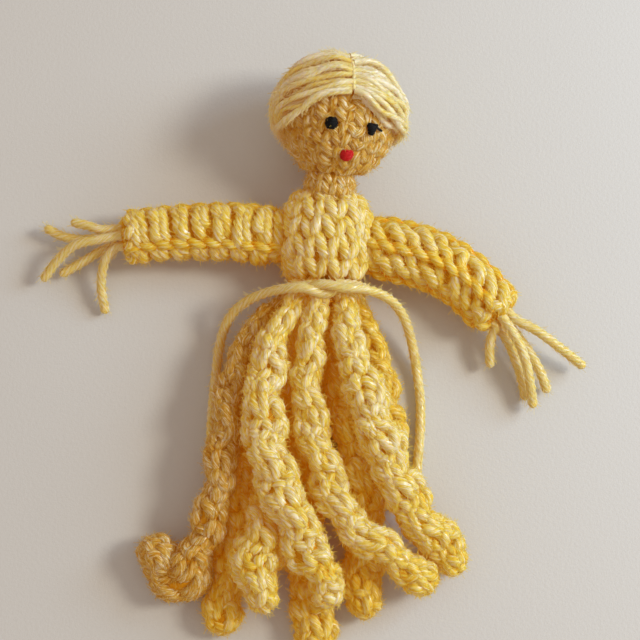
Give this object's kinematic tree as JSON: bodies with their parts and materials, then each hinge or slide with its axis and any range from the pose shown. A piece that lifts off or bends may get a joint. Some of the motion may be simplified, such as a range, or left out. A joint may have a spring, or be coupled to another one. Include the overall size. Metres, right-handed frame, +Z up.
{
  "type": "crocheted corn dolly",
  "caption": "Small stuffed yarn dolly with a round crocheted head, sleeved arms with loose yarn fingers, a tied waist and a skirt of hanging crocheted strands.",
  "frame": {"origin": "on the table, under the middle of the dolly lying on its back", "axes": "+Y towards the head, +Z up out of the dolly's front, +X towards its left arm"},
  "size_m": [0.112, 0.1198, 0.0274],
  "materials": {
    "straw_yarn": "soft spun yarn, crocheted, satin sheen",
    "stuffing": "loose fibre filling, hidden",
    "black_thread": "stitched thread",
    "red_thread": "stitched thread"
  },
  "bodies": {
    "torso": {"torso_shell": "straw_yarn", "torso_stuffing": "stuffing", "skirt_yoke": "straw_yarn", "waist_wrap": "straw_yarn", "waist_knot": "straw_yarn", "waist_tail_right": "straw_yarn", "waist_tail_left": "straw_yarn"},
    "neck": {"neck": "straw_yarn"},
    "head": {"head_shell": "straw_yarn", "head_stuffing": "stuffing", "eye_right": "black_thread", "eye_left": "black_thread", "eye_left_lash": "black_thread", "mouth": "red_thread", "hair_right": "straw_yarn", "hair_left": "straw_yarn", "parting_thread": "straw_yarn"},
    "right_arm": {"right_sleeve": "straw_yarn", "right_arm_core": "straw_yarn", "right_finger_1": "straw_yarn", "right_finger_2": "straw_yarn", "right_finger_3": "straw_yarn", "right_finger_4": "straw_yarn", "right_finger_5": "straw_yarn"},
    "left_arm": {"left_sleeve": "straw_yarn", "left_arm_core": "straw_yarn", "left_finger_1": "straw_yarn", "left_finger_2": "straw_yarn", "left_finger_3": "straw_yarn", "left_finger_4": "straw_yarn", "left_finger_5": "straw_yarn"},
    "skirt_front_1": {"skirt_front_1": "straw_yarn"},
    "skirt_front_2": {"skirt_front_2": "straw_yarn"},
    "skirt_front_3": {"skirt_front_3": "straw_yarn"},
    "skirt_front_4": {"skirt_front_4": "straw_yarn"},
    "skirt_middle_1": {"skirt_middle_1": "straw_yarn"},
    "skirt_back_1": {"skirt_back_1": "straw_yarn"},
    "skirt_back_2": {"skirt_back_2": "straw_yarn"},
    "skirt_back_3": {"skirt_back_3": "straw_yarn"},
    "skirt_back_4": {"skirt_back_4": "straw_yarn"}
  },
  "joints": [
    {"name": "neck_lean", "type": "hinge", "parent": "torso", "child": "neck", "pos_m": [0.0037, 0.03208, 0.0103], "axis": [0, 0, 1], "range_deg": [-25, 25]},
    {"name": "head_turn", "type": "hinge", "parent": "neck", "child": "head", "pos_m": [0.0037, 0.03208, 0.0103], "axis": [0.1356, 0.9649, 0.225], "range_deg": [-45, 45]},
    {"name": "right_arm_swing", "type": "hinge", "parent": "torso", "child": "right_arm", "pos_m": [-0.0092, 0.02268, 0.0068], "axis": [0, 0, -1], "range_deg": [-30, 35]},
    {"name": "left_arm_swing", "type": "hinge", "parent": "torso", "child": "left_arm", "pos_m": [0.015, 0.02008, 0.0068], "axis": [0, 0, 1], "range_deg": [-20, 40]},
    {"name": "skirt_front_1_lift", "type": "hinge", "parent": "torso", "child": "skirt_front_1", "pos_m": [-0.00562, 0.00748, 0.0073], "axis": [-1, 0, 0], "range_deg": [0, 50]},
    {"name": "skirt_front_2_lift", "type": "hinge", "parent": "torso", "child": "skirt_front_2", "pos_m": [-0.00288, 0.00748, 0.01064], "axis": [-1, 0, 0], "range_deg": [0, 50]},
    {"name": "skirt_front_3_lift", "type": "hinge", "parent": "torso", "child": "skirt_front_3", "pos_m": [0.00108, 0.00748, 0.01142], "axis": [-1, 0, 0], "range_deg": [0, 50]},
    {"name": "skirt_front_4_lift", "type": "hinge", "parent": "torso", "child": "skirt_front_4", "pos_m": [0.00662, 0.00748, 0.01083], "axis": [-1, 0, 0], "range_deg": [0, 50]},
    {"name": "skirt_middle_1_lift", "type": "hinge", "parent": "torso", "child": "skirt_middle_1", "pos_m": [-0.00029, 0.00748, 0.0074], "axis": [-1, 0, 0], "range_deg": [0, 25]},
    {"name": "skirt_back_1_lift", "type": "hinge", "parent": "torso", "child": "skirt_back_1", "pos_m": [-0.00288, 0.00748, 0.00436], "axis": [-1, 0, 0], "range_deg": [-40, 0]},
    {"name": "skirt_back_2_lift", "type": "hinge", "parent": "torso", "child": "skirt_back_2", "pos_m": [0.00129, 0.00748, 0.00378], "axis": [-1, 0, 0], "range_deg": [-40, 0]},
    {"name": "skirt_back_3_lift", "type": "hinge", "parent": "torso", "child": "skirt_back_3", "pos_m": [0.00511, 0.00748, 0.00397], "axis": [-1, 0, 0], "range_deg": [-40, 0]},
    {"name": "skirt_back_4_lift", "type": "hinge", "parent": "torso", "child": "skirt_back_4", "pos_m": [0.00871, 0.00748, 0.00662], "axis": [-1, 0, 0], "range_deg": [-40, 0]}
  ],
  "couplings": [
    {"joint": "skirt_middle_1_lift", "follows": "skirt_front_2_lift", "ratio": 0.5}
  ]
}
